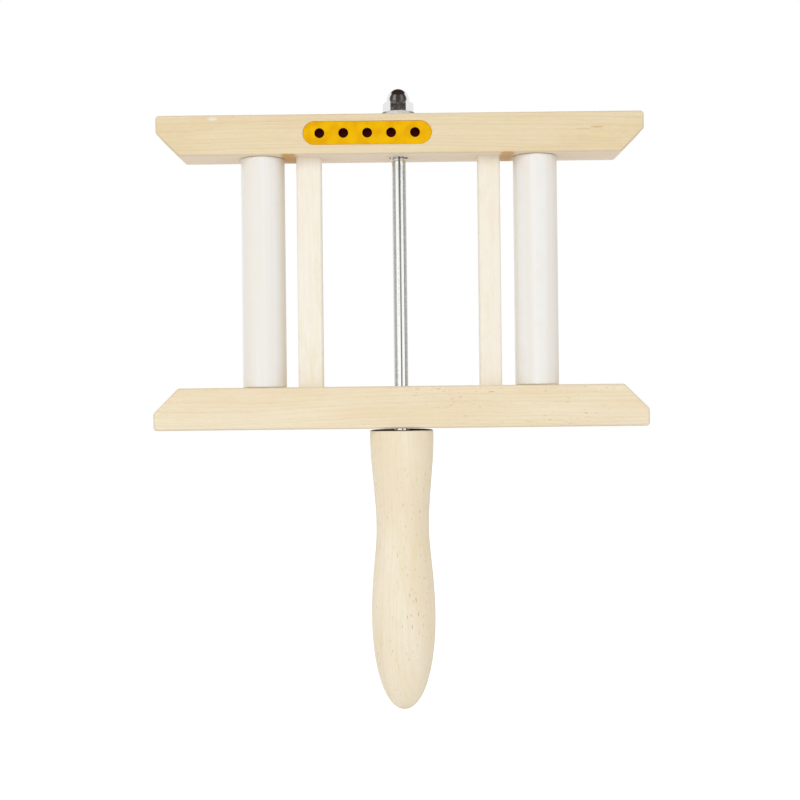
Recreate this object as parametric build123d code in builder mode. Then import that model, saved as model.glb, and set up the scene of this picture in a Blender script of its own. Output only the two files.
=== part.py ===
from build123d import *
from math import cos, radians
import os

# A hand-held line winder. Two wooden bars are joined by flat slats, and by dowels that carry loose
# plastic tubes. This frame turns on a steel rod that stands in a turned wooden handle.
# X runs along the bars, Y from the front face to the back, and Z up along the rod. The origin is on
# the rod's axis, half way along the handle, where the hand closes on it.

# Handle
HANDLE_LENGTH = 136.0
HANDLE_TOP_RADIUS = 15.45
HANDLE_TOP_SLOPE = 0.7
HANDLE_RIM_HEIGHT = 2.0
HANDLE_WAIST_RADIUS = 12.95
HANDLE_FLARE_RADIUS = 14.3
HANDLE_FLARE_DEPTHS = (24.0, 66.5)
HANDLE_WAIST_DEPTH = 50.0
HANDLE_BELLY_RADIUS = 15.6
HANDLE_BELLY_DEPTH = 90.0
HANDLE_TIP_FULLNESS = 0.59
HANDLE_RIM_ROUND = 0.8

# Bars
LOWER_BAR_LENGTH = 238.6
LOWER_BAR_HEIGHT = 20.4
UPPER_BAR_LENGTH = 234.8
UPPER_BAR_HEIGHT = 19.6
UPPER_BAR_SHIFT = 0.6
BAR_DEPTH = 24.0
BAR_END_HEIGHT = 8.4
BAR_CORNER_ROUND = 1.8
BAR_EDGE_ROUND = 1.0
BAR_GAP = 111.6

# Slats, dowels and tubes
SLAT_X = 43.8
SLAT_WIDTHS = {"left": 12.0, "right": 10.6}
SLAT_THICKNESS = 10.0
SLAT_EDGE_ROUND = 1.2
SLAT_SOCKET_DEPTH = 6.0
TUBE_X = 66.5
TUBE_OUTER_RADIUS = 10.65
TUBE_INNER_RADIUS = 7.9
TUBE_END_CLEARANCE = 0.15
TUBE_EDGE_ROUND = 0.3
DOWEL_RADIUS = 7.82
DOWEL_SOCKET_DEPTH = 8.0
DOWEL_END_CHAMFER = 0.8
GLUE_GAP = 0.05

# Rod, and what it stands and turns in
THREAD_RADIUS = 4.0
SHANK_RADIUS = 3.5
ROD_SEAT_DEPTH = 36.0
ROD_END_CHAMFER = 0.8
LOWER_THREAD_RISE = 14.0
UPPER_THREAD_RISE = 0.2
RUNNING_CLEARANCE = 0.05
BUSH_OUTER_RADIUS = 4.6
BUSH_SETBACK = 0.4
INSERT_RADIUS = 6.0
INSERT_LENGTH = 18.0
INSERT_CHAMFER = 0.5

# Nut and washer
HANDLE_GAP = 1.2
WASHER_LIFT = 0.2
WASHER_RADIUS = 8.4
WASHER_THICKNESS = 2.0
WASHER_HOLE_RADIUS = 4.2
WASHER_EDGE_ROUND = 0.3
NUT_ACROSS_FLATS = 13.0
NUT_HEX_HEIGHT = 5.5
NUT_CHAMFER = 0.8
NUT_DOME_RISE = 1.0
NUT_DOME_RADIUS = 5.6
NUT_THREAD_DEPTH = 8.4

# Inlay with its row of blind holes
INLAY_X = -15.0
INLAY_RISE = 0.5
INLAY_LENGTH = 62.0
INLAY_HEIGHT = 11.3
INLAY_THICKNESS = 5.0
INLAY_SETBACK = 0.15
INLAY_EDGE_ROUND = 0.3
INLAY_HOLES = 5
INLAY_HOLE_PITCH = 11.5
INLAY_HOLE_RADIUS = 2.4
INLAY_HOLE_DEPTH = 4.2

# Countersunk wood screws
SCREW_LENGTH = 35.0
SCREW_RADIUS = 2.0
SCREW_HEAD_RADIUS = 4.0
SCREW_HEAD_RIM = 0.4
SCREW_POINT_LENGTH = 5.0
SCREW_POINT_RADIUS = 0.3
SCREW_HOLE_RADIUS = SCREW_RADIUS + GLUE_GAP
SCREW_SETBACK = 0.2
COUNTERSINK_RADIUS = SCREW_HEAD_RADIUS + SCREW_SETBACK + SCREW_HEAD_RIM + 2 * GLUE_GAP
RECESS_LENGTH = 4.4
RECESS_WIDTH = 1.0
RECESS_DEPTH = 1.8
RECESS_TAPER = 12.0

# Levels along the rod, from the handle up
HANDLE_TOP = HANDLE_LENGTH / 2
LOWER_BAR_BOTTOM = HANDLE_TOP + HANDLE_GAP
LOWER_BAR_TOP = LOWER_BAR_BOTTOM + LOWER_BAR_HEIGHT
UPPER_BAR_BOTTOM = LOWER_BAR_TOP + BAR_GAP
UPPER_BAR_TOP = UPPER_BAR_BOTTOM + UPPER_BAR_HEIGHT
WASHER_BOTTOM = UPPER_BAR_TOP + WASHER_LIFT
NUT_BOTTOM = WASHER_BOTTOM + WASHER_THICKNESS
ROD_TOP = NUT_BOTTOM + NUT_THREAD_DEPTH - 2 * ROD_END_CHAMFER
ROD_BOTTOM = HANDLE_TOP - ROD_SEAT_DEPTH
SIDES = {"left": -1, "right": 1}

os.makedirs("parts", exist_ok=True)


def make_bar(length, height, shift, inner_face, outward):
    """One crosspiece. Its ends slant away from the winding, and its sockets open on the inner face.

    outward is +1 for the bar whose outer face looks up, and -1 for the one that looks down. shift is
    how far the middle of the bar lies to the right of the rod.
    """
    outer_face = inner_face + outward * height
    end_corner = outer_face - outward * BAR_END_HEIGHT
    left_end, right_end = shift - length / 2, shift + length / 2
    slant = height - BAR_END_HEIGHT
    with BuildPart() as bar:
        with BuildSketch(Plane.XZ):
            with BuildLine():
                Polyline(
                    (left_end, outer_face),
                    (right_end, outer_face),
                    (right_end, end_corner),
                    (right_end - slant, inner_face),
                    (left_end + slant, inner_face),
                    (left_end, end_corner),
                    close=True,
                )
            make_face()
        extrude(amount=BAR_DEPTH / 2, both=True)
        fillet(bar.edges().filter_by(Axis.Y), radius=BAR_CORNER_ROUND)
        fillet(bar.faces().sort_by(Axis.Y)[0].edges(), radius=BAR_EDGE_ROUND)
        fillet(bar.faces().sort_by(Axis.Y)[-1].edges(), radius=BAR_EDGE_ROUND)
        # The bush's hole runs right through on the rod's axis.
        with BuildSketch(Plane.XY.offset(inner_face)):
            Circle(BUSH_OUTER_RADIUS)
        extrude(amount=outward * height, mode=Mode.SUBTRACT)
        # Round sockets take the dowels, and square ones with eased corners take the slats.
        with BuildSketch(Plane.XY.offset(inner_face)):
            with Locations((-TUBE_X, 0), (TUBE_X, 0)):
                Circle(DOWEL_RADIUS + GLUE_GAP)
        extrude(amount=outward * DOWEL_SOCKET_DEPTH, mode=Mode.SUBTRACT)
        with BuildSketch(Plane.XY.offset(inner_face)):
            for side, sign in SIDES.items():
                with Locations((sign * SLAT_X, 0)):
                    RectangleRounded(
                        SLAT_WIDTHS[side] + 2 * GLUE_GAP,
                        SLAT_THICKNESS + 2 * GLUE_GAP,
                        SLAT_EDGE_ROUND,
                    )
        extrude(amount=outward * SLAT_SOCKET_DEPTH, mode=Mode.SUBTRACT)
        # Countersunk screw holes lead from the outer face into the sockets.
        for x in (-TUBE_X, -SLAT_X, SLAT_X, TUBE_X):
            with Locations(Plane(origin=(x, 0, outer_face), z_dir=(0, 0, outward))):
                CounterSinkHole(
                    radius=SCREW_HOLE_RADIUS,
                    counter_sink_radius=COUNTERSINK_RADIUS,
                    depth=height,
                    counter_sink_angle=90,
                )
    return bar.part


# The handle is turned from one piece of wood: a flared top, a waist, a full belly and a round tip. Its
# top is sawn a little out of square, lower in front than behind.
tip_length = HANDLE_LENGTH - HANDLE_BELLY_DEPTH
with BuildPart() as handle_grip:
    with BuildSketch(Plane.XZ):
        with BuildLine():
            Polyline(
                (0, -HANDLE_TOP),
                (0, HANDLE_TOP + HANDLE_TOP_SLOPE),
                (HANDLE_TOP_RADIUS, HANDLE_TOP + HANDLE_TOP_SLOPE),
                (HANDLE_TOP_RADIUS, HANDLE_TOP - HANDLE_RIM_HEIGHT),
            )
            Spline(
                (HANDLE_TOP_RADIUS, HANDLE_TOP - HANDLE_RIM_HEIGHT),
                (HANDLE_FLARE_RADIUS, HANDLE_TOP - HANDLE_FLARE_DEPTHS[0]),
                (HANDLE_WAIST_RADIUS, HANDLE_TOP - HANDLE_WAIST_DEPTH),
                (HANDLE_FLARE_RADIUS, HANDLE_TOP - HANDLE_FLARE_DEPTHS[1]),
                (HANDLE_BELLY_RADIUS, HANDLE_TOP - HANDLE_BELLY_DEPTH),
                tangents=[(0, -1), (0, -1)],
            )
            Bezier(
                (HANDLE_BELLY_RADIUS, HANDLE_TOP - HANDLE_BELLY_DEPTH),
                (HANDLE_BELLY_RADIUS, HANDLE_TOP - HANDLE_BELLY_DEPTH - HANDLE_TIP_FULLNESS * tip_length),
                (HANDLE_TIP_FULLNESS * HANDLE_BELLY_RADIUS, -HANDLE_TOP),
                (0, -HANDLE_TOP),
            )
        make_face()
    revolve(axis=Axis.Z)
    sawn_top = Plane(
        origin=(0, -HANDLE_TOP_RADIUS, HANDLE_TOP),
        z_dir=(0, -HANDLE_TOP_SLOPE, 2 * HANDLE_TOP_RADIUS),
    )
    split(bisect_by=sawn_top, keep=Keep.BOTTOM)
    fillet(handle_grip.faces().sort_by(Axis.Z)[-1].edges(), radius=HANDLE_RIM_ROUND)
    with BuildSketch(Plane.XY.offset(HANDLE_TOP - INSERT_LENGTH)):
        Circle(INSERT_RADIUS)
    extrude(amount=INSERT_LENGTH + HANDLE_TOP_SLOPE, mode=Mode.SUBTRACT)
    with BuildSketch(Plane.XY.offset(HANDLE_TOP - ROD_SEAT_DEPTH)):
        Circle(THREAD_RADIUS + GLUE_GAP)
    extrude(amount=ROD_SEAT_DEPTH, mode=Mode.SUBTRACT)
handle_grip.part.label = "handle_grip"
export_step(handle_grip.part, "parts/handle_grip.step")


# A brass insert is screwed into the handle's top, and the rod's lower thread stands in it.
with BuildPart() as handle_insert:
    with BuildSketch(Plane.XY.offset(HANDLE_TOP - INSERT_LENGTH)):
        Circle(INSERT_RADIUS - GLUE_GAP)
        Circle(THREAD_RADIUS + GLUE_GAP, mode=Mode.SUBTRACT)
    extrude(amount=INSERT_LENGTH)
    insert_rims = handle_insert.edges().filter_by(GeomType.CIRCLE)
    chamfer(insert_rims.group_by(Axis.Z)[-1], length=INSERT_CHAMFER)
handle_insert.part.label = "handle_insert"
export_step(handle_insert.part, "parts/handle_insert.step")

# The rod is full thread size in the handle, the lower bar and the upper bar, and slimmer between.
with BuildPart() as axle_rod:
    with BuildSketch(Plane.XZ):
        lower_thread_top = LOWER_BAR_BOTTOM + LOWER_THREAD_RISE
        upper_thread_bottom = UPPER_BAR_BOTTOM + UPPER_THREAD_RISE
        thread_step = THREAD_RADIUS - SHANK_RADIUS
        with BuildLine():
            Polyline(
                (0, ROD_BOTTOM),
                (THREAD_RADIUS - ROD_END_CHAMFER, ROD_BOTTOM),
                (THREAD_RADIUS, ROD_BOTTOM + ROD_END_CHAMFER),
                (THREAD_RADIUS, lower_thread_top),
                (SHANK_RADIUS, lower_thread_top + thread_step),
                (SHANK_RADIUS, upper_thread_bottom - thread_step),
                (THREAD_RADIUS, upper_thread_bottom),
                (THREAD_RADIUS, ROD_TOP - ROD_END_CHAMFER),
                (THREAD_RADIUS - ROD_END_CHAMFER, ROD_TOP),
                (0, ROD_TOP),
                close=True,
            )
        make_face()
    revolve(axis=Axis.Z)
axle_rod.part.label = "axle_rod"
export_step(axle_rod.part, "parts/axle_rod.step")

# The washer rides just clear of the upper bar, so that the frame turns freely under it.
with BuildPart() as top_washer:
    with BuildSketch(Plane.XY.offset(WASHER_BOTTOM)):
        Circle(WASHER_RADIUS)
        Circle(WASHER_HOLE_RADIUS, mode=Mode.SUBTRACT)
    extrude(amount=WASHER_THICKNESS)
    washer_rims = top_washer.edges().filter_by(GeomType.CIRCLE)
    fillet(washer_rims.filter_by(lambda rim: rim.radius == WASHER_RADIUS), radius=WASHER_EDGE_ROUND)
top_washer.part.label = "top_washer"
export_step(top_washer.part, "parts/top_washer.step")

# The cap nut is a hexagon with chamfered ends under a round dome, with a blind thread from below.
with BuildPart() as acorn_nut:
    nut_corner_radius = NUT_ACROSS_FLATS / 2 / cos(radians(30))
    nut_shoulder = NUT_BOTTOM + NUT_HEX_HEIGHT
    with BuildSketch(Plane.XY.offset(NUT_BOTTOM)):
        RegularPolygon(NUT_ACROSS_FLATS / 2, 6, major_radius=False)
    extrude(amount=NUT_HEX_HEIGHT)
    with BuildSketch(Plane.XZ):
        with BuildLine():
            Polyline(
                (0, NUT_BOTTOM),
                (nut_corner_radius - NUT_CHAMFER, NUT_BOTTOM),
                (nut_corner_radius, NUT_BOTTOM + NUT_CHAMFER / 2),
                (nut_corner_radius, nut_shoulder - NUT_CHAMFER),
                (nut_corner_radius - 2 * NUT_CHAMFER, nut_shoulder),
                (0, nut_shoulder),
                close=True,
            )
        make_face()
    revolve(axis=Axis.Z, mode=Mode.INTERSECT)
    dome_centre = nut_shoulder + NUT_DOME_RISE
    with BuildSketch(Plane.XZ):
        with BuildLine():
            Line((0, nut_shoulder), (0, dome_centre + NUT_DOME_RADIUS))
            RadiusArc((0, dome_centre + NUT_DOME_RADIUS), (NUT_DOME_RADIUS, dome_centre), NUT_DOME_RADIUS)
            Line((NUT_DOME_RADIUS, dome_centre), (NUT_DOME_RADIUS, nut_shoulder))
            Line((NUT_DOME_RADIUS, nut_shoulder), (0, nut_shoulder))
        make_face()
    revolve(axis=Axis.Z)
    with BuildSketch(Plane.XY.offset(NUT_BOTTOM)):
        Circle(THREAD_RADIUS + GLUE_GAP)
    extrude(amount=NUT_THREAD_DEPTH, mode=Mode.SUBTRACT)
acorn_nut.part.label = "acorn_nut"
export_step(acorn_nut.part, "parts/acorn_nut.step")

# The lower bar is a plain crosspiece that looks down.
with BuildPart() as lower_bar:
    add(make_bar(LOWER_BAR_LENGTH, LOWER_BAR_HEIGHT, 0, LOWER_BAR_TOP, -1))
lower_bar.part.label = "lower_bar"
export_step(lower_bar.part, "parts/lower_bar.step")

# The upper bar also has the inlay's pocket in its front face, to one side of the rod.
inlay_middle = (UPPER_BAR_BOTTOM + UPPER_BAR_TOP) / 2 + INLAY_RISE
with BuildPart() as upper_bar:
    add(make_bar(UPPER_BAR_LENGTH, UPPER_BAR_HEIGHT, UPPER_BAR_SHIFT, UPPER_BAR_BOTTOM, 1))
    with BuildSketch(Plane.XZ.offset(BAR_DEPTH / 2)):
        with Locations((INLAY_X, inlay_middle)):
            SlotOverall(INLAY_LENGTH + 2 * GLUE_GAP, INLAY_HEIGHT + 2 * GLUE_GAP)
    extrude(amount=-(INLAY_SETBACK + INLAY_THICKNESS), mode=Mode.SUBTRACT)
upper_bar.part.label = "upper_bar"
export_step(upper_bar.part, "parts/upper_bar.step")

# The inlay is a plastic plate with round ends and a row of blind round holes.
with BuildPart() as yellow_inlay:
    with BuildSketch(Plane.XZ.offset(BAR_DEPTH / 2 - INLAY_SETBACK)):
        with Locations((INLAY_X, inlay_middle)):
            SlotOverall(INLAY_LENGTH, INLAY_HEIGHT)
    extrude(amount=-INLAY_THICKNESS)
    fillet(yellow_inlay.faces().sort_by(Axis.Y)[0].edges(), radius=INLAY_EDGE_ROUND)
    with BuildSketch(Plane.XZ.offset(BAR_DEPTH / 2 - INLAY_SETBACK)):
        with Locations((INLAY_X, inlay_middle)):
            with GridLocations(INLAY_HOLE_PITCH, 0, INLAY_HOLES, 1):
                Circle(INLAY_HOLE_RADIUS)
    extrude(amount=-INLAY_HOLE_DEPTH, mode=Mode.SUBTRACT)
yellow_inlay.part.label = "yellow_inlay"
export_step(yellow_inlay.part, "parts/yellow_inlay.step")

# A thin sleeve lines each bar's hole, a little short of both faces, so that the thread turns on steel.
for name, bottom, top in (
    ("lower", LOWER_BAR_BOTTOM, LOWER_BAR_TOP),
    ("upper", UPPER_BAR_BOTTOM, UPPER_BAR_TOP),
):
    with BuildPart() as bush:
        with BuildSketch(Plane.XY.offset(bottom + BUSH_SETBACK)):
            Circle(BUSH_OUTER_RADIUS)
            Circle(THREAD_RADIUS + RUNNING_CLEARANCE, mode=Mode.SUBTRACT)
        extrude(amount=top - bottom - 2 * BUSH_SETBACK)
    bush.part.label = f"{name}_bush"
    export_step(bush.part, f"parts/{name}_bush.step")

# The screw's holes in the slats and dowels are drilled in line with those in the bars.
screw_reach = SCREW_SETBACK + SCREW_LENGTH + GLUE_GAP
lower_drill = Plane.XY.offset(LOWER_BAR_BOTTOM)
upper_drill = Plane.XY.offset(UPPER_BAR_TOP - screw_reach)
for side, sign in SIDES.items():
    # A slat is a flat strip with eased edges, glued into a socket in each bar.
    with BuildPart() as slat:
        slat_bottom = LOWER_BAR_TOP - SLAT_SOCKET_DEPTH
        slat_top = UPPER_BAR_BOTTOM + SLAT_SOCKET_DEPTH
        with BuildSketch(Plane.XY.offset(slat_bottom)):
            with Locations((sign * SLAT_X, 0)):
                RectangleRounded(SLAT_WIDTHS[side], SLAT_THICKNESS, SLAT_EDGE_ROUND)
        extrude(amount=slat_top - slat_bottom)
        with BuildSketch(lower_drill, upper_drill):
            with Locations((sign * SLAT_X, 0)):
                Circle(SCREW_HOLE_RADIUS)
        extrude(amount=screw_reach, mode=Mode.SUBTRACT)
    slat.part.label = f"slat_{side}"
    export_step(slat.part, f"parts/slat_{side}.step")

    # A dowel is a round core with chamfered ends, glued into a socket in each bar.
    with BuildPart() as dowel:
        dowel_bottom = LOWER_BAR_TOP - DOWEL_SOCKET_DEPTH
        dowel_top = UPPER_BAR_BOTTOM + DOWEL_SOCKET_DEPTH
        with BuildSketch(Plane.XY.offset(dowel_bottom)):
            with Locations((sign * TUBE_X, 0)):
                Circle(DOWEL_RADIUS)
        extrude(amount=dowel_top - dowel_bottom)
        chamfer(dowel.edges().filter_by(GeomType.CIRCLE), length=DOWEL_END_CHAMFER)
        with BuildSketch(lower_drill, upper_drill):
            with Locations((sign * TUBE_X, 0)):
                Circle(SCREW_HOLE_RADIUS)
        extrude(amount=screw_reach, mode=Mode.SUBTRACT)
    dowel.part.label = f"dowel_{side}"
    export_step(dowel.part, f"parts/dowel_{side}.step")

    # A plastic tube is loose on its dowel, with a little room at each end.
    with BuildPart() as tube:
        with BuildSketch(Plane.XY.offset(LOWER_BAR_TOP + TUBE_END_CLEARANCE)):
            with Locations((sign * TUBE_X, 0)):
                Circle(TUBE_OUTER_RADIUS)
                Circle(TUBE_INNER_RADIUS, mode=Mode.SUBTRACT)
        extrude(amount=BAR_GAP - 2 * TUBE_END_CLEARANCE)
        chamfer(tube.edges().filter_by(GeomType.CIRCLE), length=TUBE_EDGE_ROUND)
    tube.part.label = f"tube_{side}"
    export_step(tube.part, f"parts/tube_{side}.step")


def make_screw(x, outer_face, outward):
    """A countersunk wood screw with a cross recess. It is driven inwards from a bar's outer face."""
    head_top = outer_face - outward * SCREW_SETBACK
    cone_end = head_top - outward * (SCREW_HEAD_RIM + SCREW_HEAD_RADIUS - SCREW_RADIUS)
    point = head_top - outward * SCREW_LENGTH
    with BuildPart() as screw:
        with BuildSketch(Plane.XZ):
            with BuildLine():
                Polyline(
                    (x, head_top),
                    (x + SCREW_HEAD_RADIUS, head_top),
                    (x + SCREW_HEAD_RADIUS, head_top - outward * SCREW_HEAD_RIM),
                    (x + SCREW_RADIUS, cone_end),
                    (x + SCREW_RADIUS, point + outward * SCREW_POINT_LENGTH),
                    (x + SCREW_POINT_RADIUS, point),
                    (x, point),
                    close=True,
                )
            make_face()
        revolve(axis=Axis((x, 0, 0), (0, 0, 1)))
        with BuildSketch(Plane(origin=(x, 0, head_top), z_dir=(0, 0, outward))):
            Rectangle(RECESS_LENGTH, RECESS_WIDTH)
            Rectangle(RECESS_WIDTH, RECESS_LENGTH)
        extrude(amount=-RECESS_DEPTH, taper=RECESS_TAPER, mode=Mode.SUBTRACT)
    return screw.part


for level, outer_face, outward in (("lower", LOWER_BAR_BOTTOM, -1), ("upper", UPPER_BAR_TOP, 1)):
    for held, distance in (("slat", SLAT_X), ("dowel", TUBE_X)):
        for side, sign in SIDES.items():
            screw = make_screw(sign * distance, outer_face, outward)
            screw.label = f"screw_{level}_{held}_{side}"
            export_step(screw, f"parts/screw_{level}_{held}_{side}.step")
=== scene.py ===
from math import pi, radians

import bpy
import numpy as np
from mathutils import Matrix, Vector


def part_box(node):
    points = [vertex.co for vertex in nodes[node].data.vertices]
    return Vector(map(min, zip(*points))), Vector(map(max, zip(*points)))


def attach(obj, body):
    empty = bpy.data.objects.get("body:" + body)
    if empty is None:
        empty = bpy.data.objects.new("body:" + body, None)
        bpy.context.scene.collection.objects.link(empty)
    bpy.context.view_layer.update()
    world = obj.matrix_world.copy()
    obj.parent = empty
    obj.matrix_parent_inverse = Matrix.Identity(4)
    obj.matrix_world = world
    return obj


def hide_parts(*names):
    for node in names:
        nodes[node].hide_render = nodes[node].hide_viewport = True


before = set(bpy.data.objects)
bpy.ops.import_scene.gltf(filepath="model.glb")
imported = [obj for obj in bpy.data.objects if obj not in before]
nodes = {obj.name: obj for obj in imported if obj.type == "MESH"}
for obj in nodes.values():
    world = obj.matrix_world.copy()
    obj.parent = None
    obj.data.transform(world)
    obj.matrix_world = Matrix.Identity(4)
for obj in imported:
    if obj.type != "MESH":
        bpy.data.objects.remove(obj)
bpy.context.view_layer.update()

bpy.context.scene.view_settings.view_transform = "Standard"


# The camera: it stands two thirds of a metre in front, a little above the handle's rim, and looks
# almost squarely at the winder, which is held very slightly tilted in its view.
CAMERA_PLACE = (-0.00017, -0.64433, 0.08117)
CAMERA_YAW = 0.000772
CAMERA_PITCH = 0.002703
CAMERA_ROLL = -0.011173
CAMERA_LENS = 59.29
CAMERA_SENSOR = 36.0
CAMERA_NEAR = 0.01

camera = bpy.data.objects.new("camera", bpy.data.cameras.new("camera"))
camera.data.lens = CAMERA_LENS
camera.data.sensor_width = CAMERA_SENSOR
camera.data.clip_start = CAMERA_NEAR
camera.matrix_world = (
    Matrix.Translation(CAMERA_PLACE)
    @ Matrix.Rotation(CAMERA_YAW, 4, "Z")
    @ Matrix.Rotation(pi / 2 + CAMERA_PITCH, 4, "X")
    @ Matrix.Rotation(CAMERA_ROLL, 4, "Z")
)
bpy.context.scene.collection.objects.link(camera)
bpy.context.scene.camera = camera


# The handle: one piece of pale close-grained hardwood, turned between centres and sanded, with no
# varnish. Its grain runs up and down, with short brown ray flecks and faint year rings.
HANDLE_CREAM = (248, 239, 219)
HANDLE_HONEY = (243, 228, 200)
HANDLE_LATE_WOOD = (231, 211, 174)
HANDLE_FLECK = (150, 112, 74)
HANDLE_HEART = (0.0, 0.034, 0.021)
HANDLE_RING_WIDTH = 0.0021
# The colour of the painted shade on the handle's top face, under the lower bar.
HANDLE_TOP_SHADE = (104, 66, 30)
HANDLE_RIM_LEVEL = 0.068
TOP_SHADE_EDGE = 0.00012


def paint(red, green, blue):
    """A colour as mixed on a paint card, 0 to 255 a channel, in the linear values light adds up in."""
    card = np.array((red, green, blue)) / 255.0
    linear = np.where(card <= 0.04045, card / 12.92, ((card + 0.055) / 1.055) ** 2.4)
    return (*linear.tolist(), 1.0)


def add_node(tree, kind, inputs=(), **options):
    """Adds a shader node with its options, and feeds each input from a value or another's socket."""
    node = tree.nodes.new("ShaderNode" + kind)
    for option, value in options.items():
        setattr(node, option, value)
    for socket, value in dict(inputs).items():
        if isinstance(value, bpy.types.NodeSocket):
            tree.links.new(value, node.inputs[socket])
        else:
            node.inputs[socket].default_value = value
    return node


def sum_of(tree, operation, *values):
    """One step of arithmetic on values or sockets."""
    return add_node(tree, "Math", enumerate(values), operation=operation).outputs[0]


def vector_sum(tree, operation, *values):
    """One step of arithmetic on vectors, each axis by itself."""
    return add_node(tree, "VectorMath", enumerate(values), operation=operation).outputs[0]


def ease(tree, value, low, high, start=0.0, end=1.0):
    """Start where value is under low, end where it is over high, and a smooth S between."""
    inputs = {"Value": value, "From Min": low, "From Max": high, "To Min": start, "To Max": end}
    return add_node(tree, "MapRange", inputs, interpolation_type="SMOOTHSTEP").outputs[0]


def tint(tree, share, first, second, blend_type="MIX"):
    """The first colour with that share of the second one laid over it."""
    inputs = {0: share, 6: first, 7: second}
    return add_node(tree, "Mix", inputs, data_type="RGBA", blend_type=blend_type).outputs[2]


def stretched_noise(tree, place, grain, detail=2.0, roughness=0.5):
    """Noise with as many features a metre along the grain (X) and across it as grain says."""
    along, across = grain
    spread = vector_sum(tree, "MULTIPLY", place, (along, across, across))
    inputs = {"Vector": spread, "Scale": 1.0, "Detail": detail, "Roughness": roughness}
    return add_node(tree, "TexNoise", inputs)


def add_relief(tree, shader, height, strength, distance):
    """Leans the surface's normals as if it stood up by height times distance, in metres."""
    inputs = {"Height": height, "Strength": strength, "Distance": distance}
    tree.links.new(add_node(tree, "Bump", inputs).outputs[0], shader.inputs["Normal"])


def new_group(name, sockets_in, sockets_out):
    """A node group with these named inputs and outputs, and its two end nodes."""
    group = bpy.data.node_groups.new(name, "ShaderNodeTree")
    for socket, kind in sockets_in:
        group.interface.new_socket(socket, in_out="INPUT", socket_type="NodeSocket" + kind)
    for socket, kind in sockets_out:
        group.interface.new_socket(socket, in_out="OUTPUT", socket_type="NodeSocket" + kind)
    return group, group.nodes.new("NodeGroupInput"), group.nodes.new("NodeGroupOutput")


# The figure of the timber. Year rings are cylinders about the heart of the tree, which lies along X:
# distance from the heart over ring width, bent by slow noise, gives early wood turning to late wood.
# Fibres, pores and ray flecks are noise drawn out along the grain. Each GRAIN is the number of
# features a metre along the grain and across it, and each SPREAD the noise that is turned to 0 and 1.
SLOW_BEND_GRAIN, SLOW_BEND_REACH = (5.0, 26.0), 0.011
QUICK_BEND_GRAIN, QUICK_BEND_REACH = (42.0, 190.0), 0.0011
NOISE_MIDDLE = (0.5, 0.5, 0.5)
SEASON_SCALE = 0.37
SEASON_WANDER = 1.6
LATE_WOOD_GROWS = (0.3, 0.9)
LATE_WOOD_STOPS = (0.94, 1.0)
WEAK_YEAR = 0.35
FIBRE_GRAIN, FIBRE_SPREAD = (48.0, 1700.0), (0.3, 0.7)
PORE_GRAIN, PORE_SPREAD = (260.0, 4800.0), (0.6, 0.74)
FLECK_GRAIN = (330.0, 2300.0)
FLECK_FLOOR = 0.86
FLECK_FLOOR_DROP = 0.2
FLECK_SHARPNESS = 14.0
CROWD_GRAIN, CROWD_SPREAD = (22.0, 75.0), (0.42, 0.66)
CROWD_LEAST = 0.1
CLOUD_GRAIN, CLOUD_SPREAD = (13.0, 55.0), (0.32, 0.68)
BLUSH_GRAIN = (55.0, 260.0)
FIBRE_HEIGHT = 0.5
LATE_WOOD_HEIGHT = 0.35
PORE_DEPTH = 0.8
FLECK_DEPTH = 0.5

timber, timber_in, timber_out = new_group(
    "timber_figure",
    [("Place", "Vector"), ("Ring Width", "Float"), ("Fleck Share", "Float")],
    [(name, "Float") for name in ("Ring", "Fibre", "Fleck", "Cloud", "Blush", "Height")],
)
timber_place = timber_in.outputs["Place"]
slow_bend = stretched_noise(timber, timber_place, SLOW_BEND_GRAIN).outputs["Color"]
quick_bend = stretched_noise(timber, timber_place, QUICK_BEND_GRAIN).outputs["Color"]
bent = timber_place
for bend, reach in ((slow_bend, SLOW_BEND_REACH), (quick_bend, QUICK_BEND_REACH)):
    shift = vector_sum(timber, "SUBTRACT", bend, NOISE_MIDDLE)
    shift = vector_sum(timber, "MULTIPLY", shift, (0.0, reach, reach))
    bent = vector_sum(timber, "ADD", bent, shift)
across_heart = vector_sum(timber, "MULTIPLY", bent, (0.0, 1.0, 1.0))
from_heart = add_node(timber, "VectorMath", {0: across_heart}, operation="LENGTH").outputs["Value"]
years = sum_of(timber, "DIVIDE", from_heart, timber_in.outputs["Ring Width"])
seasons = {"W": years, "Scale": SEASON_SCALE, "Detail": 1.0}
seasons = add_node(timber, "TexNoise", seasons, noise_dimensions="1D").outputs["Fac"]
years = sum_of(timber, "ADD", years, sum_of(timber, "MULTIPLY", seasons, SEASON_WANDER))
season = sum_of(timber, "FRACT", years)
year_number = sum_of(timber, "FLOOR", years)
strength = add_node(timber, "TexWhiteNoise", {"W": year_number}, noise_dimensions="1D").outputs["Value"]
growing = ease(timber, season, *LATE_WOOD_GROWS)
stopping = ease(timber, season, *LATE_WOOD_STOPS, 1.0, 0.0)
late_wood = sum_of(timber, "MULTIPLY", growing, stopping)
late_wood = sum_of(timber, "MULTIPLY", late_wood, ease(timber, strength, 0.0, 1.0, WEAK_YEAR, 1.0))
fibre = stretched_noise(timber, timber_place, FIBRE_GRAIN, detail=3.0, roughness=0.65).outputs["Fac"]
fibre = ease(timber, fibre, *FIBRE_SPREAD)
pore = stretched_noise(timber, timber_place, PORE_GRAIN, detail=1.0).outputs["Fac"]
pore = ease(timber, pore, *PORE_SPREAD)
fleck = stretched_noise(timber, timber_place, FLECK_GRAIN, detail=0.0).outputs["Fac"]
crowd = stretched_noise(timber, timber_place, CROWD_GRAIN, detail=1.0).outputs["Fac"]
crowd = ease(timber, crowd, *CROWD_SPREAD, CROWD_LEAST, 1.0)
fleck_floor = sum_of(timber, "MULTIPLY", timber_in.outputs["Fleck Share"], FLECK_FLOOR_DROP)
fleck_floor = sum_of(timber, "SUBTRACT", FLECK_FLOOR, fleck_floor)
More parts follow.
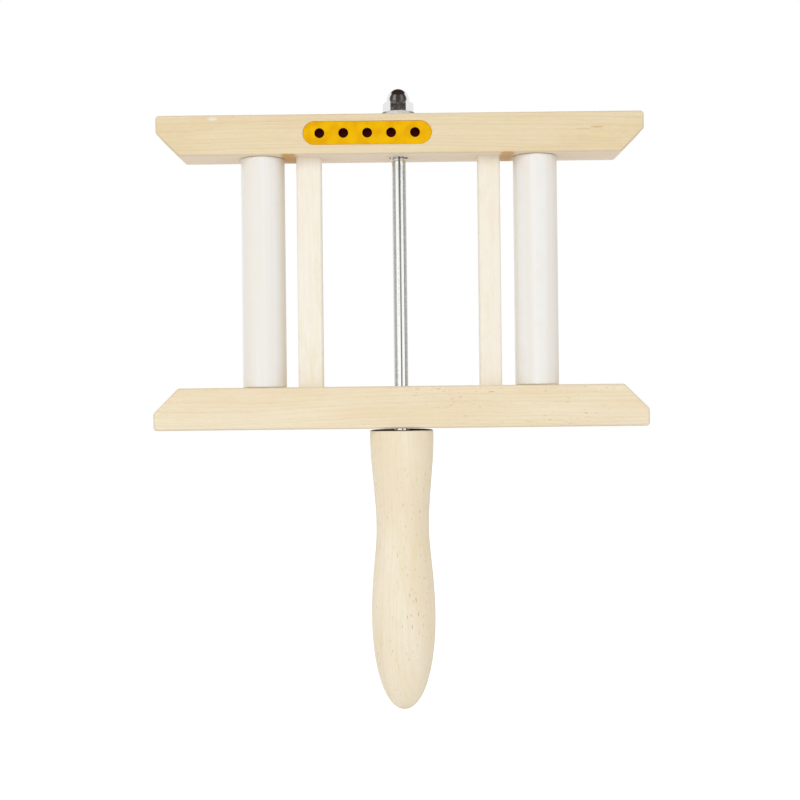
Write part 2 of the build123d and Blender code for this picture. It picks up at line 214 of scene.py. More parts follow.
fleck = sum_of(timber, "MULTIPLY", sum_of(timber, "SUBTRACT", fleck, fleck_floor), FLECK_SHARPNESS)
fleck = sum_of(timber, "MULTIPLY", ease(timber, fleck, 0.0, 1.0), crowd)
cloud = ease(timber, stretched_noise(timber, timber_place, CLOUD_GRAIN).outputs["Fac"], *CLOUD_SPREAD)
blush = stretched_noise(timber, timber_place, BLUSH_GRAIN).outputs["Fac"]
height = sum_of(timber, "MULTIPLY", late_wood, LATE_WOOD_HEIGHT)
height = sum_of(timber, "MULTIPLY_ADD", fibre, FIBRE_HEIGHT, height)
height = sum_of(timber, "SUBTRACT", height, sum_of(timber, "MULTIPLY", pore, PORE_DEPTH))
height = sum_of(timber, "SUBTRACT", height, sum_of(timber, "MULTIPLY", fleck, FLECK_DEPTH))
for socket, value in zip(timber_out.inputs, (late_wood, fibre, fleck, cloud, blush, height)):
    timber.links.new(value, socket)

# How the figure is coloured, the same for every piece of bare wood.
PINK_WOOD, PINK_SPREAD, PINK_SHARE = (246, 214, 190), (0.5, 0.72), 0.16
YELLOW_WOOD, YELLOW_SPREAD, YELLOW_SHARE = (232, 220, 158), (0.28, 0.5), 0.2
FIBRE_SHARE = 0.16
END_GRAIN_TURN = (0.55, 0.95)
END_GRAIN_SHARE = 0.45
WOOD_ROUGHNESS = (0.46, 0.62)
WOOD_SPECULAR = 0.45


def new_material(name):
    """An empty material and its Principled BSDF, already wired to the surface."""
    material = bpy.data.materials.new(name)
    material.use_nodes = True
    tree = material.node_tree
    tree.nodes.clear()
    shader = add_node(tree, "BsdfPrincipled")
    tree.links.new(shader.outputs[0], add_node(tree, "OutputMaterial").inputs["Surface"])
    return material, tree, shader


def wood_material(
    name, grain, heart, ring_width, colours, ring_share=0.3, fleck_share=0.3, fleck_weight=0.6
):
    """Bare sanded wood. Grain is the axis along the fibres, and heart is where the tree's middle runs.
    Gives the material, its tree, its shader, the colour so far and the object's own coordinates."""
    cream, honey, late, speck = (paint(*colour) for colour in colours)
    material, tree, shader = new_material(name)
    position = add_node(tree, "TexCoord")
    turn = (0.0, radians(90.0), 0.0) if grain == "Z" else (0.0, 0.0, 0.0)
    mapping = {"Vector": position.outputs["Object"], "Location": heart, "Rotation": turn}
    laid = add_node(tree, "Mapping", mapping, vector_type="POINT").outputs[0]
    figure = add_node(tree, "Group", node_tree=timber)
    tree.links.new(laid, figure.inputs["Place"])
    figure.inputs["Ring Width"].default_value = ring_width
    figure.inputs["Fleck Share"].default_value = fleck_share
    colour = tint(tree, figure.outputs["Cloud"], cream, honey)
    pink = ease(tree, figure.outputs["Blush"], *PINK_SPREAD, 0.0, PINK_SHARE)
    yellow = ease(tree, figure.outputs["Blush"], *YELLOW_SPREAD, YELLOW_SHARE, 0.0)
    colour = tint(tree, pink, colour, paint(*PINK_WOOD))
    colour = tint(tree, yellow, colour, paint(*YELLOW_WOOD))
    for part, share, part_colour in (
        ("Ring", ring_share, late),
        ("Fibre", FIBRE_SHARE, late),
        ("Fleck", fleck_weight, speck),
    ):
        weight = sum_of(tree, "MULTIPLY", figure.outputs[part], share)
        colour = tint(tree, weight, colour, part_colour)
    # Sawn ends drink in more light than the faces, so they are darker and browner.
    facing = add_node(tree, "SeparateXYZ", {0: position.outputs["Normal"]}).outputs[grain]
    end_grain = sum_of(tree, "ABSOLUTE", facing)
    colour = tint(tree, ease(tree, end_grain, *END_GRAIN_TURN, 0.0, END_GRAIN_SHARE), colour, late)
    tree.links.new(colour, shader.inputs["Base Color"])
    rough = ease(tree, figure.outputs["Fibre"], 0.0, 1.0, *WOOD_ROUGHNESS)
    tree.links.new(rough, shader.inputs["Roughness"])
    shader.inputs["Specular IOR Level"].default_value = WOOD_SPECULAR
    add_relief(tree, shader, figure.outputs["Height"], strength=0.55, distance=0.00012)
    return material, tree, shader, colour, position


def dress(name, material):
    """Gives a carried-over CAD piece its finish."""
    mesh = nodes[name].data
    mesh.materials.clear()
    mesh.materials.append(material)


handle_wood, tree, shader, colour, position = wood_material(
    "turned_handle_wood",
    "Z",
    HANDLE_HEART,
    HANDLE_RING_WIDTH,
    (HANDLE_CREAM, HANDLE_HONEY, HANDLE_LATE_WOOD, HANDLE_FLECK),
    ring_share=0.2,
    fleck_share=0.6,
    fleck_weight=0.75,
)
# The sawn top, close under the turning bar, is painted dark brown: painted shade from the bar just
# above it.
level = add_node(tree, "SeparateXYZ", {0: position.outputs["Object"]}).outputs["Z"]
top_shaded = ease(tree, level, HANDLE_RIM_LEVEL, HANDLE_RIM_LEVEL + TOP_SHADE_EDGE)
tree.links.new(tint(tree, top_shaded, colour, paint(*HANDLE_TOP_SHADE)), shader.inputs["Base Color"])
dress("handle_grip", handle_wood)


# The insert: a short brass sleeve screwed into the handle's top, which takes the rod's thread. Only
# its rim shows, in the gap under the lower bar, dulled by handling.
BRASS = (196, 160, 92)
BRASS_TARNISH = (128, 98, 52)
BRASS_ROUGHNESS = (0.28, 0.5)
TARNISH_SCALE = 420.0
TARNISH_SPREAD = (0.42, 0.7)
TURNED_LINE_SCALE = 2600.0


def speckle(tree, place, scale, detail, roughness=0.5):
    """Noise from 0 to 1, with that many features a metre each way."""
    inputs = {"Vector": place, "Scale": scale, "Detail": detail, "Roughness": roughness}
    return add_node(tree, "TexNoise", inputs).outputs["Fac"]


brass, tree, shader = new_material("dull_brass")
position = add_node(tree, "TexCoord").outputs["Object"]
tarnish = ease(tree, speckle(tree, position, TARNISH_SCALE, detail=3.0), *TARNISH_SPREAD)
tree.links.new(tint(tree, tarnish, paint(*BRASS), paint(*BRASS_TARNISH)), shader.inputs["Base Color"])
tree.links.new(ease(tree, tarnish, 0.0, 1.0, *BRASS_ROUGHNESS), shader.inputs["Roughness"])
shader.inputs["Metallic"].default_value = 1.0
turned_lines = speckle(tree, position, TURNED_LINE_SCALE, detail=1.0)
add_relief(tree, shader, turned_lines, strength=0.25, distance=0.00003)
dress("handle_insert", brass)


# The rod: a bright drawn steel bar, slimmer in the middle, with a rolled screw thread at each end.
# The lower thread stands in the handle's insert, and the frame turns round the rod.
THREAD_TOP_RADIUS = 0.004
THREAD_ROOT_RADIUS = 0.00324
THREAD_PITCH = 0.00125
THREAD_RUN_OUT = 0.0022
THREAD_CREST = 0.12
THREAD_FLANK = 0.7
THREAD_ROOT_ROUNDING = 0.08
SHANK_RADIUS = 0.0035
LOWER_THREAD_RISE = 0.014
UPPER_THREAD_RISE = 0.0002
COLLAR_SINK = 0.0025
ROD_TIP_CHAMFER = 0.0008
ROD_CORNERS = 64
ROWS_PER_TURN = 12
SHANK_ROWS = 40
STEEL = (228, 228, 226)
STEEL_DULL = (176, 176, 174)
STEEL_ROUGHNESS = (0.1, 0.24)
STEEL_DARK_REFLECTION = (104, 106, 102)
DRAWN_LINES = (2600.0, 2600.0, 9.0)
DRAWN_LINE_SPREAD = (0.5, 0.75)
DRAWN_LINE_HEIGHT = 0.12
SPOT_SCALE = 900.0
SPOT_SPREAD = (0.4, 0.62)
# The painted dark reflection bands: where they lie across and up the rod, and how strong they are.
SIDE_LINE_START = (0.0018, 0.0021)
SIDE_LINE_END = (0.0026, 0.0031)
SIDE_LINE_PATCHES = (0.3, 0.6)
SIDE_LINE_SHARE = (0.12, 0.42)
CENTRE_LINE = (0.0003, 0.0007)
CENTRE_LINE_SHIFT = 0.00025
CENTRE_LINE_LEVELS = (0.11, 0.2)
CENTRE_LINE_SHARE = 0.95
REFLECTION_BAND_DULLNESS = -0.9
WAVINESS = (260.0, 260.0, 120.0)
rod_low, rod_high = (corner.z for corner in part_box("axle_rod"))
lower_thread_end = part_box("lower_bar")[0].z + LOWER_THREAD_RISE
upper_thread_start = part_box("upper_bar")[0].z + UPPER_THREAD_RISE
collar_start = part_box("handle_grip")[1].z - COLLAR_SINK


def turned_piece(name, radius, height, turn, material):
    """A closed skin round the Z axis. The two grids give radius and height, with a row for each step
    along the profile and a column for each corner of turn, and a point on the axis closes each end."""
    rows, columns = radius.shape
    ring = np.stack((radius * np.cos(turn), radius * np.sin(turn), height), axis=-1).reshape(-1, 3)
    points = np.concatenate((ring, [(0.0, 0.0, height[0, 0]), (0.0, 0.0, height[-1, 0])]))
    row, column = np.meshgrid(np.arange(rows - 1), np.arange(columns), indexing="ij")
    beside = (column + 1) % columns
    first, second = row * columns + column, row * columns + beside
    sides = np.stack((first, second, second + columns, first + columns), axis=-1).reshape(-1, 4)
    corner = np.arange(columns)
    beside = (corner + 1) % columns
    top_row = (rows - 1) * columns
    low_fan = np.stack((np.full(columns, len(ring)), beside, corner), axis=-1)
    high_fan = np.stack((np.full(columns, len(ring) + 1), top_row + corner, top_row + beside), axis=-1)
    mesh = bpy.data.meshes.new(name)
    mesh.from_pydata(points.tolist(), [], sides.tolist() + low_fan.tolist() + high_fan.tolist())
    mesh.shade_smooth()
    mesh.materials.append(material)
    piece = bpy.data.objects.new(name, mesh)
    bpy.context.scene.collection.objects.link(piece)
    return piece


steel, tree, shader = new_material("drawn_steel")
position = add_node(tree, "TexCoord").outputs["Object"]
drawn_lines = speckle(tree, vector_sum(tree, "MULTIPLY", position, DRAWN_LINES), 1.0, detail=2.0)
spots = speckle(tree, position, SPOT_SCALE, detail=3.0)
dull = ease(tree, drawn_lines, *DRAWN_LINE_SPREAD)
dull = sum_of(tree, "MULTIPLY", dull, ease(tree, spots, *SPOT_SPREAD))
# Dark grey lines are painted down both sides, and down the middle towards the top, set by distance
# across the rod from its axis: painted reflections of the dark room, where the steel is also made less
# metallic.
from_axis = add_node(tree, "SeparateXYZ", {0: position})
aside = sum_of(tree, "ABSOLUTE", from_axis.outputs["X"])
side_line = ease(tree, aside, *SIDE_LINE_END, 1.0, 0.0)
side_line = sum_of(tree, "MULTIPLY", ease(tree, aside, *SIDE_LINE_START), side_line)
off_centre = sum_of(tree, "SUBTRACT", from_axis.outputs["X"], CENTRE_LINE_SHIFT)
centre_line = ease(tree, sum_of(tree, "ABSOLUTE", off_centre), *CENTRE_LINE, 1.0, 0.0)
upwards = ease(tree, from_axis.outputs["Z"], *CENTRE_LINE_LEVELS, 0.0, CENTRE_LINE_SHARE)
centre_line = sum_of(tree, "MULTIPLY", centre_line, upwards)
patchy = ease(tree, spots, *SIDE_LINE_PATCHES, *SIDE_LINE_SHARE)
reflection_band = sum_of(tree, "MAXIMUM", sum_of(tree, "MULTIPLY", side_line, patchy), centre_line)
colour = tint(tree, dull, paint(*STEEL), paint(*STEEL_DULL))
colour = tint(tree, reflection_band, colour, paint(*STEEL_DARK_REFLECTION))
tree.links.new(colour, shader.inputs["Base Color"])
tree.links.new(ease(tree, dull, 0.0, 1.0, *STEEL_ROUGHNESS), shader.inputs["Roughness"])
shine = sum_of(tree, "MULTIPLY_ADD", reflection_band, REFLECTION_BAND_DULLNESS, 1.0)
tree.links.new(shine, shader.inputs["Metallic"])
waves = speckle(tree, vector_sum(tree, "MULTIPLY", position, WAVINESS), 1.0, detail=1.0)
steel_height = sum_of(tree, "MULTIPLY_ADD", drawn_lines, DRAWN_LINE_HEIGHT, waves)
add_relief(tree, shader, steel_height, strength=0.5, distance=0.00005)

row_step = THREAD_PITCH / ROWS_PER_TURN
shank_start, shank_end = lower_thread_end + THREAD_RUN_OUT, upper_thread_start - THREAD_RUN_OUT
rod_heights = np.concatenate((
    np.arange(rod_low, shank_start, row_step),
    np.linspace(shank_start, shank_end, SHANK_ROWS)[:-1],
    np.arange(shank_end, rod_high, row_step),
    [rod_high],
))
rod_turn, rod_height = np.meshgrid(np.arange(ROD_CORNERS) * 2 * pi / ROD_CORNERS, rod_heights)
# A thread's height over one turn is a V with a flat crest and a round root: the distance from the
# crest line, as a share of the pitch, runs from 0 on the crest to 1 in the root.
from_crest = np.abs((rod_height / THREAD_PITCH - rod_turn / (2 * pi)) % 1.0 - 0.5) * 2
flank = np.clip((from_crest - THREAD_CREST) / THREAD_FLANK, 0.0, 1.0)
flank = flank - THREAD_ROOT_ROUNDING * np.sin(2 * pi * flank) * (flank > 0.5)
threaded = THREAD_TOP_RADIUS - (THREAD_TOP_RADIUS - THREAD_ROOT_RADIUS) * flank
# The thread fades into the plain shank over its run-out, as a smooth S, and the tips are chamfered.
plain_low = np.clip((rod_height - lower_thread_end) / THREAD_RUN_OUT, 0.0, 1.0)
plain_high = np.clip((upper_thread_start - rod_height) / THREAD_RUN_OUT, 0.0, 1.0)
plain = np.minimum(plain_low, plain_high)
plain = plain * plain * (3 - 2 * plain)
rod_radius = threaded * (1 - plain) + SHANK_RADIUS * plain
# Between the handle and the shank the rod is left plain, at the full size of the thread.
collar = (rod_height > collar_start) & (rod_height < lower_thread_end)
rod_radius = np.where(collar, THREAD_TOP_RADIUS, rod_radius)
from_tip = np.clip(np.minimum(rod_height - rod_low, rod_high - rod_height), 0.0, ROD_TIP_CHAMFER)
rod_radius = np.minimum(rod_radius, THREAD_TOP_RADIUS - ROD_TIP_CHAMFER + from_tip)
rod = turned_piece("threaded_rod", rod_radius, rod_height, rod_turn, steel)
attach(rod, "handle")
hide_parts("axle_rod")


# The bushes: two thin steel sleeves, one in each bar, that turn on the rod. They sit just inside the
# wood and are darkened by oil.
BUSH_STEEL = (150, 149, 146)
BUSH_OIL = (92, 88, 80)
BUSH_ROUGHNESS = (0.42, 0.25)
OIL_SCALE = 520.0
OIL_SPREAD = (0.4, 0.7)

bush_steel, tree, shader = new_material("oiled_bush_steel")
position = add_node(tree, "TexCoord").outputs["Object"]
oil = ease(tree, speckle(tree, position, OIL_SCALE, detail=3.0), *OIL_SPREAD)
tree.links.new(tint(tree, oil, paint(*BUSH_STEEL), paint(*BUSH_OIL)), shader.inputs["Base Color"])
tree.links.new(ease(tree, oil, 0.0, 1.0, *BUSH_ROUGHNESS), shader.inputs["Roughness"])
shader.inputs["Metallic"].default_value = 1.0
add_relief(tree, shader, oil, strength=0.2, distance=0.00003)
for name in ("lower_bush", "upper_bush"):
    dress(name, bush_steel)


# The bars: two lengths of planed hardwood with slanted ends, their edges just eased with sandpaper.
# The grain runs along them, and they hold the slats and dowels in glued sockets.
LOWER_BAR_COLOURS = ((243, 230, 202), (239, 221, 186), (224, 199, 157), (139, 100, 62))
UPPER_BAR_COLOURS = ((236, 219, 184), (231, 210, 168), (214, 186, 140), (139, 100, 62))
LOWER_BAR_HEART = (0.31, 0.047, -0.121)
UPPER_BAR_HEART = (0.73, 0.038, -0.262)
BAR_RING_WIDTH = 0.0017
BAR_EDGE = (206, 190, 172)
BAR_EDGE_TURN = (0.02, 0.22)
BAR_EDGE_SHARE = 0.42
# The painted light on the bars' undersides, from the bright floor below.
BAR_LIT_UNDERSIDE = (247, 231, 216)
BAR_LIT_UNDERSIDE_TURN = (-0.95, -0.7)
BAR_LIT_UNDERSIDE_SHARE = 0.5
# A warm tan for the painted shade under the upper bar, beside the slats.
WARM_GAP_SHADE = (204, 152, 66)
NICK_WHITE = (244, 242, 234)
STREAK_BROWN = (208, 166, 108)
MARK_GRAIN = (500.0, 1500.0)
MARK_RAGGEDNESS = 0.7
MARK_EDGE = (0.85, 1.35)
_, upper_front, upper_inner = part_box("upper_bar")[0]
# Each mark on the upper bar: its middle, its reach along each axis, its strength and its colour. They
# are the painted warm shade on the underside beside the slats, between slat and tube, and on the front
# a filled nick and two brown streaks.
UPPER_BAR_MARKS = (
    ((-0.0529, 0.0, upper_inner), (0.0047, 1.0, 0.0008), 0.85, WARM_GAP_SHADE),
    ((0.0525, 0.0, upper_inner), (0.0044, 1.0, 0.0008), 0.8, WARM_GAP_SHADE),
    ((-0.0893, upper_front, 0.2188), (0.0028, 0.015, 0.0011), 0.55, NICK_WHITE),
    ((0.0955, upper_front, 0.2131), (0.0042, 0.015, 0.0006), 0.6, STREAK_BROWN),
    ((0.0880, upper_front, 0.2122), (0.0050, 0.015, 0.0005), 0.35, STREAK_BROWN),
)


def mark(tree, position, colour, place, reach, share, mark_colour):
    """Lays a soft spot over the colour: place is its middle, and reach how far it goes on each axis."""
    scale = tuple(1 / step for step in reach)
    offset = tuple(-middle / step for middle, step in zip(place, reach))
    spot = vector_sum(tree, "MULTIPLY_ADD", position.outputs["Object"], scale, offset)
    distance = add_node(tree, "VectorMath", {0: spot}, operation="LENGTH").outputs["Value"]
    ragged = stretched_noise(tree, position.outputs["Object"], MARK_GRAIN).outputs["Fac"]
    distance = sum_of(tree, "MULTIPLY_ADD", ragged, MARK_RAGGEDNESS, distance)
    return tint(tree, ease(tree, distance, *MARK_EDGE, share, 0.0), colour, paint(*mark_colour))


for name, heart, colours, fleck_share, marks in (
    ("lower_bar", LOWER_BAR_HEART, LOWER_BAR_COLOURS, 0.45, ()),
    ("upper_bar", UPPER_BAR_HEART, UPPER_BAR_COLOURS, 0.3, UPPER_BAR_MARKS),
):
    wood, tree, shader, colour, position = wood_material(
        f"{name}_wood", "X", heart, BAR_RING_WIDTH, colours, ring_share=0.28, fleck_share=fleck_share
    )
    facing = add_node(tree, "SeparateXYZ", {0: position.outputs["Normal"]})
    # The underside is painted paler, a painted light from the bright floor below, and the eased edges,
    # whose normals lie between two faces, are greyer.
    lit_underside = ease(tree, facing.outputs["Z"], *BAR_LIT_UNDERSIDE_TURN, BAR_LIT_UNDERSIDE_SHARE, 0.0)
    colour = tint(tree, lit_underside, colour, paint(*BAR_LIT_UNDERSIDE))
    front_share = sum_of(tree, "MULTIPLY", facing.outputs["Y"], facing.outputs["Y"])
    eased_edge = sum_of(tree, "MULTIPLY", front_share, sum_of(tree, "SUBTRACT", 1.0, front_share))
    eased_edge = ease(tree, eased_edge, *BAR_EDGE_TURN, 0.0, BAR_EDGE_SHARE)
    colour = tint(tree, eased_edge, colour, paint(*BAR_EDGE))
    for middle, reach, share, mark_colour in marks:
        colour = mark(tree, position, colour, middle, reach, share, mark_colour)
    tree.links.new(colour, shader.inputs["Base Color"])
    dress(name, wood)


# The slats: two flat strips of the same wood, paler, planed and with eased edges, glued upright
# between the bars. Their grain runs up and down.
SLAT_COLOURS = ((249, 245, 235), (247, 240, 225), (237, 222, 196), (170, 134, 98))
SLAT_RING_WIDTH = 0.0024
SLAT_HEARTS = {"left": (0.12, 0.041, 0.063), "right": (0.55, -0.036, 0.009)}

for side, heart in SLAT_HEARTS.items():
    wood = wood_material(
        f"{side}_slat_wood", "Z", heart, SLAT_RING_WIDTH, SLAT_COLOURS, ring_share=0.2,
        fleck_share=0.35, fleck_weight=0.4,
    )
    dress(f"slat_{side}", wood[0])


# The dowels: round sticks of the same wood, glued between the bars. The tubes hide them, and only
# a thin line shows at each end.
DOWEL_COLOURS = ((232, 212, 174), (224, 200, 156), (204, 174, 128), (139, 100, 62))
DOWEL_RING_WIDTH = 0.0024
DOWEL_HEARTS = {"left": (0.9, 0.03, 0.08), "right": (1.3, 0.03, -0.05)}

for side, heart in DOWEL_HEARTS.items():
    wood = wood_material(f"{side}_dowel_wood", "Z", heart, DOWEL_RING_WIDTH, DOWEL_COLOURS)
    dress(f"dowel_{side}", wood[0])


# The tubes: two lengths of white plastic water pipe, cut square and loose on their dowels, so that
# they turn as the line runs over them. The skin is satin, with faint lengthwise lines and rubs.
TUBE_WHITE = (242, 240, 236)
TUBE_RUBBED = (235, 227, 214)
# The colour of the painted warm shade and reflected wood colour on each tube's right side.
TUBE_WARM_SHADE = (226, 212, 184)
TUBE_ROUGHNESS = (0.3, 0.46)
PIPE_LINES = (700.0, 700.0, 7.0)
YELLOWED_LINES = (190.0, 190.0, 3.0)
YELLOWED_SPREAD = (0.42, 0.62)
YELLOWED_SHARE = 0.8
RUB_SCALE = 95.0
RUB_SPREAD = (0.45, 0.75)
RUB_SHARE = 0.6
RUBBED_SHARE = 0.6
WARM_SHADE_TURN = (0.55, 1.0)
WARM_SHADE_SHARE = 0.4

tube_plastic, tree, shader = new_material("white_pipe_plastic")
tube_coordinates = add_node(tree, "TexCoord").outputs
position = tube_coordinates["Object"]
pipe_lines = speckle(tree, vector_sum(tree, "MULTIPLY", position, PIPE_LINES), 1.0, detail=2.0)
rub = speckle(tree, position, RUB_SCALE, detail=4.0, roughness=0.6)
rub = ease(tree, rub, *RUB_SPREAD, 0.0, RUB_SHARE)
yellowed = speckle(tree, vector_sum(tree, "MULTIPLY", position, YELLOWED_LINES), 1.0, detail=1.0)
yellowed = ease(tree, yellowed, *YELLOWED_SPREAD, 0.0, YELLOWED_SHARE)
rub = sum_of(tree, "MAXIMUM", rub, yellowed)
rubbed = sum_of(tree, "MULTIPLY", rub, RUBBED_SHARE)
colour = tint(tree, rubbed, paint(*TUBE_WHITE), paint(*TUBE_RUBBED))
# The side facing +X is painted warmer and darker: painted shade and painted reflection of the wood.
warm_shade = add_node(tree, "SeparateXYZ", {0: tube_coordinates["Normal"]}).outputs["X"]
warm_shade = ease(tree, warm_shade, *WARM_SHADE_TURN, 0.0, WARM_SHADE_SHARE)
tree.links.new(tint(tree, warm_shade, colour, paint(*TUBE_WARM_SHADE)), shader.inputs["Base Color"])
tree.links.new(ease(tree, rub, 0.0, 1.0, *TUBE_ROUGHNESS), shader.inputs["Roughness"])
add_relief(tree, shader, pipe_lines, strength=0.3, distance=0.00004)
for name in ("tube_left", "tube_right"):
    dress(name, tube_plastic)


# The screws: zinc plated wood screws with countersunk cross-recess heads, driven through the bars
# into the ends of the slats and dowels.
ZINC = (226, 227, 228)
ZINC_GREY = (190, 192, 196)
ZINC_ROUGHNESS = (0.36, 0.5)
CRYSTAL_SCALE = 1500.0

zinc, tree, shader = new_material("zinc_plate")
position = add_node(tree, "TexCoord").outputs["Object"]
crystals = add_node(tree, "TexVoronoi", {"Vector": position, "Scale": CRYSTAL_SCALE}).outputs["Color"]
crystals = add_node(tree, "SeparateColor", {0: crystals}).outputs[0]
tree.links.new(tint(tree, crystals, paint(*ZINC), paint(*ZINC_GREY)), shader.inputs["Base Color"])
tree.links.new(ease(tree, crystals, 0.0, 1.0, *ZINC_ROUGHNESS), shader.inputs["Roughness"])
shader.inputs["Metallic"].default_value = 1.0
add_relief(tree, shader, crystals, strength=0.15, distance=0.00003)
for name in nodes:
    if name.startswith("screw_"):
        dress(name, zinc)


# The plate: a strip of golden yellow plastic with round ends, let into the upper bar's front. Five
# blind holes go in from its face, and are painted dark brown inside: painted shade.
PLATE_YELLOW = (239, 184, 3)
PLATE_AMBER = (228, 166, 4)
PLATE_ROUGHNESS = (0.36, 0.46)
PLATE_SPECULAR = 0.05
MOTTLE_SCALE = 190.0
MOTTLE_SPREAD = (0.35, 0.7)
MOTTLE_SHEEN_SPREAD = (0.3, 0.7)
HOLE_SHADE_BROWN = (88, 18, 5)
HOLE_SHADE = (0.00012, 0.0007)
plate_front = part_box("yellow_inlay")[0].y

plate, tree, shader = new_material("golden_plate_plastic")
position = add_node(tree, "TexCoord").outputs["Object"]
mottle = speckle(tree, position, MOTTLE_SCALE, detail=3.0)
colour = tint(tree, ease(tree, mottle, *MOTTLE_SPREAD), paint(*PLATE_YELLOW), paint(*PLATE_AMBER))
depth = add_node(tree, "SeparateXYZ", {0: position}).outputs["Y"]
# Behind the face, inside the holes and round the plate's edges, the colour turns dark brown: painted
# shade.
shaded = ease(tree, depth, *(plate_front + step for step in HOLE_SHADE))
tree.links.new(tint(tree, shaded, colour, paint(*HOLE_SHADE_BROWN)), shader.inputs["Base Color"])
rough = ease(tree, mottle, *MOTTLE_SHEEN_SPREAD, *PLATE_ROUGHNESS)
tree.links.new(rough, shader.inputs["Roughness"])
shader.inputs["Specular IOR Level"].default_value = PLATE_SPECULAR
add_relief(tree, shader, mottle, strength=0.2, distance=0.00006)
dress("yellow_inlay", plate)


# The washer: stamped from steel strip and zinc plated, so that it is paler and less bright than the
# nut, with olive-dark painted shade down both sides. It lies between the nut and the upper bar.
WASHER_ZINC = (232, 232, 230)
WASHER_GREY = (214, 210, 200)
WASHER_ROUGHNESS = (0.36, 0.5)
WASHER_METALLIC = 0.3
WASHER_SHADE_OLIVE = (112, 104, 78)
WASHER_SIDE_SHADE = (0.005, 0.0068)
WASHER_SIDE_SHADE_SHARE = 0.85
CLOUDING_SCALE = 600.0
CLOUDING_SPREAD = (0.4, 0.7)

washer_zinc, tree, shader = new_material("satin_zinc")
position = add_node(tree, "TexCoord").outputs["Object"]
clouding = ease(tree, speckle(tree, position, CLOUDING_SCALE, detail=3.0), *CLOUDING_SPREAD)
colour = tint(tree, clouding, paint(*WASHER_ZINC), paint(*WASHER_GREY))
# Both sides, by sideways distance from the rod, are darkened olive: painted shade.
sideways = add_node(tree, "SeparateXYZ", {0: position}).outputs["X"]
sideways = sum_of(tree, "ABSOLUTE", sideways)
shaded_sides = ease(tree, sideways, *WASHER_SIDE_SHADE, 0.0, WASHER_SIDE_SHADE_SHARE)
tree.links.new(tint(tree, shaded_sides, colour, paint(*WASHER_SHADE_OLIVE)), shader.inputs["Base Color"])
tree.links.new(ease(tree, clouding, 0.0, 1.0, *WASHER_ROUGHNESS), shader.inputs["Roughness"])
shader.inputs["Metallic"].default_value = WASHER_METALLIC
add_relief(tree, shader, clouding, strength=0.2, distance=0.00003)
dress("top_washer", washer_zinc)


# The cap nut: chromed steel, polished, with a few fine scratches. It is tight on the rod's upper
# thread and keeps the frame from coming off.
CHROME = (222, 222, 222)
CHROME_ROUGHNESS = (0.05, 0.14)
HAZE_SCALE = 700.0
HAZE_SPREAD = (0.35, 0.75)

chrome, tree, shader = new_material("polished_chrome")
position = add_node(tree, "TexCoord").outputs["Object"]
haze = speckle(tree, position, HAZE_SCALE, detail=4.0)
shader.inputs["Base Color"].default_value = paint(*CHROME)
tree.links.new(ease(tree, haze, *HAZE_SPREAD, *CHROME_ROUGHNESS), shader.inputs["Roughness"])
shader.inputs["Metallic"].default_value = 1.0
add_relief(tree, shader, haze, strength=0.04, distance=0.00003)
dress("acorn_nut", chrome)


# The studio: a plain pale floor well under the handle, a large soft lamp high in front, and a
# room of white screens. What polished steel mirrors is laid out by direction: screens on both sides,
# a dark gap between them where the camera stands, a white wall behind and a dark ceiling in front.
FLOOR_LEVEL = -0.22
FLOOR_HALF = 6.0
FLOOR_WHITE = (246, 246, 246)
FLOOR_ROUGHNESS = 0.9
FLOOR_GLOW = 0.5
ROOM_LIGHT = 0.81
LAMP_PLACE = (-0.3, -1.35, 0.85)
LAMP_AIM = (0.0, 0.0, 0.1)
LAMP_SIZE = 0.9
LAMP_WATTS = 5.9
WHITE_LIGHT = (1.0, 1.0, 1.0, 1.0)
SCREEN_TOP = (0.187, 0.2)
CEILING_FRONT = (1.48, 1.8)
CEILING_RISE = (0.64, 0.8)
CEILING_DARK = (0.040, 0.026, 0.020, 1.0)
WALL_WHITE = (1.1, 1.1, 1.1, 1.0)
GROUND_RISE = (-0.6, -0.3)
GROUND_PALE = (0.85, 0.85, 0.85, 1.0)
# What stands round the winder at its own height, by angle in degrees from the camera, to the right.
SURROUNDINGS = (
    (-180, 1.05), (-148, 1.05), (-118, 0.9), (-96, 0.6), (-78, 0.55), (-60, 0.62), (-48, 1.3),
    (-2, 1.3), (3, 0.22), (18, 0.22), (28, 1.2), (64, 1.3), (71, 0.2), (84, 0.3), (100, 0.5),
    (130, 0.68), (155, 0.85), (180, 1.05),
)
# What hangs over the front of the winder, above the screens.
OVERHANG = (
    (-85, 0.03), (-58, 0.05), (-44, 0.3), (-33, 0.3), (-16, 0.03), (18, 0.03), (36, 0.16), (46, 0.16),
    (62, 0.03),
)

floor_material, tree, shader = new_material("pale_floor")
shader.inputs["Base Color"].default_value = paint(*FLOOR_WHITE)
shader.inputs["Roughness"].default_value = FLOOR_ROUGHNESS
shader.inputs["Emission Color"].default_value = WHITE_LIGHT
seen_straight = add_node(tree, "LightPath").outputs["Is Camera Ray"]
tree.links.new(sum_of(tree, "MULTIPLY", seen_straight, FLOOR_GLOW), shader.inputs["Emission Strength"])
corners = ((-1, -1), (1, -1), (1, 1), (-1, 1))
corners = [(x * FLOOR_HALF, y * FLOOR_HALF, FLOOR_LEVEL) for x, y in corners]
floor_mesh = bpy.data.meshes.new("floor")
floor_mesh.from_pydata(corners, [], [(0, 1, 2, 3)])
floor_mesh.materials.append(floor_material)
floor = bpy.data.objects.new("floor", floor_mesh)
bpy.context.scene.collection.objects.link(floor)

lamp = bpy.data.objects.new("soft_lamp", bpy.data.lights.new("soft_lamp", "AREA"))
lamp.data.size = LAMP_SIZE
lamp.data.energy = LAMP_WATTS
lamp.location = LAMP_PLACE
lamp.rotation_euler = (Vector(LAMP_AIM) - Vector(LAMP_PLACE)).to_track_quat("-Z", "Y").to_euler()
lamp.visible_glossy = False
bpy.context.scene.collection.objects.link(lamp)


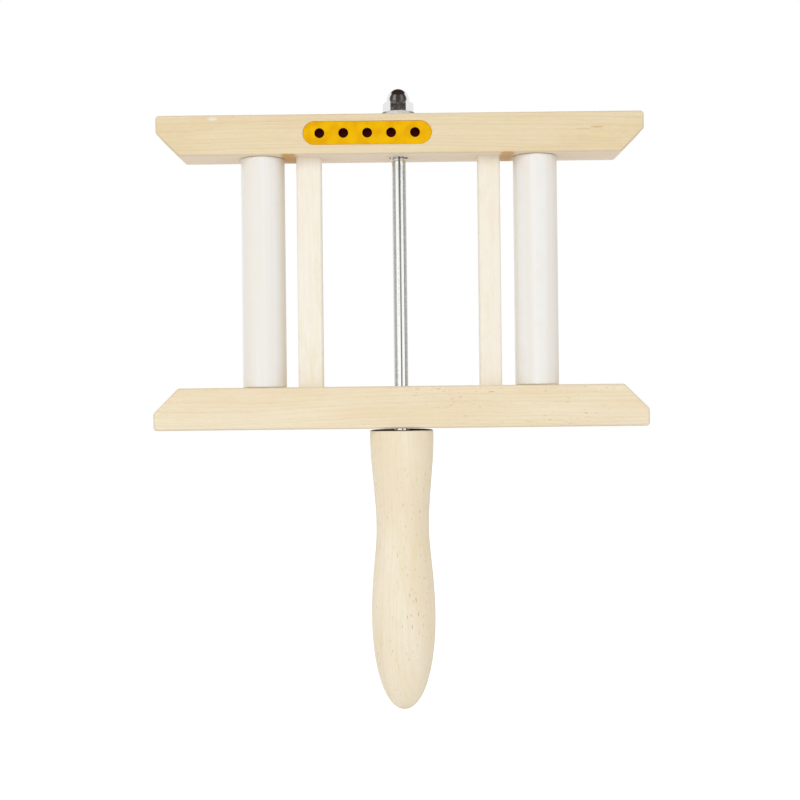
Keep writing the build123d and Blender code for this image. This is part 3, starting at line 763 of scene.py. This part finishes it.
def by_angle(tree, angle, stops):
    """Brightness that goes in straight steps from stop to stop as the angle in degrees goes round."""
    ramp = add_node(tree, "ValToRGB", {0: sum_of(tree, "MULTIPLY_ADD", angle, 1 / (2 * pi), 0.5)})
    elements = ramp.color_ramp.elements
    while len(elements) < len(stops):
        elements.new(0.5)
    for element, (degrees, level) in zip(elements, stops):
        element.position = degrees / 360 + 0.5
        element.color = (level, level, level, 1.0)
    return ramp.outputs[0]


world = bpy.data.worlds.new("white_studio")
bpy.context.scene.world = world
world.use_nodes = True
sky = world.node_tree
sky.nodes.clear()
direction = add_node(sky, "SeparateXYZ", {0: add_node(sky, "TexCoord").outputs["Generated"]})
ahead = sum_of(sky, "MULTIPLY", direction.outputs["Y"], -1.0)
angle = sum_of(sky, "ARCTAN2", direction.outputs["X"], ahead)
rise = direction.outputs["Z"]
level_view = by_angle(sky, angle, SURROUNDINGS)
wall = ease(sky, sum_of(sky, "ABSOLUTE", angle), *CEILING_FRONT)
front_ceiling = tint(sky, 1.0, by_angle(sky, angle, OVERHANG), CEILING_DARK, "ADD")
high_view = tint(sky, wall, front_ceiling, WALL_WHITE)
high_view = tint(sky, ease(sky, rise, *CEILING_RISE), high_view, CEILING_DARK)
mirrored = tint(sky, ease(sky, rise, *SCREEN_TOP), level_view, high_view)
mirrored = tint(sky, ease(sky, rise, *GROUND_RISE, 1.0, 0.0), mirrored, GROUND_PALE)
rays = add_node(sky, "LightPath").outputs
shine = add_node(sky, "Background", {"Color": mirrored, "Strength": 1.0})
fill = add_node(sky, "Background", {"Color": WHITE_LIGHT, "Strength": ROOM_LIGHT})
seen = add_node(sky, "Background", {"Color": WHITE_LIGHT, "Strength": 1.0})
lit = add_node(sky, "MixShader", {0: rays["Is Glossy Ray"], 1: fill.outputs[0], 2: shine.outputs[0]})
lit = add_node(sky, "MixShader", {0: rays["Is Camera Ray"], 1: lit.outputs[0], 2: seen.outputs[0]})
sky.links.new(lit.outputs[0], add_node(sky, "OutputWorld").inputs["Surface"])
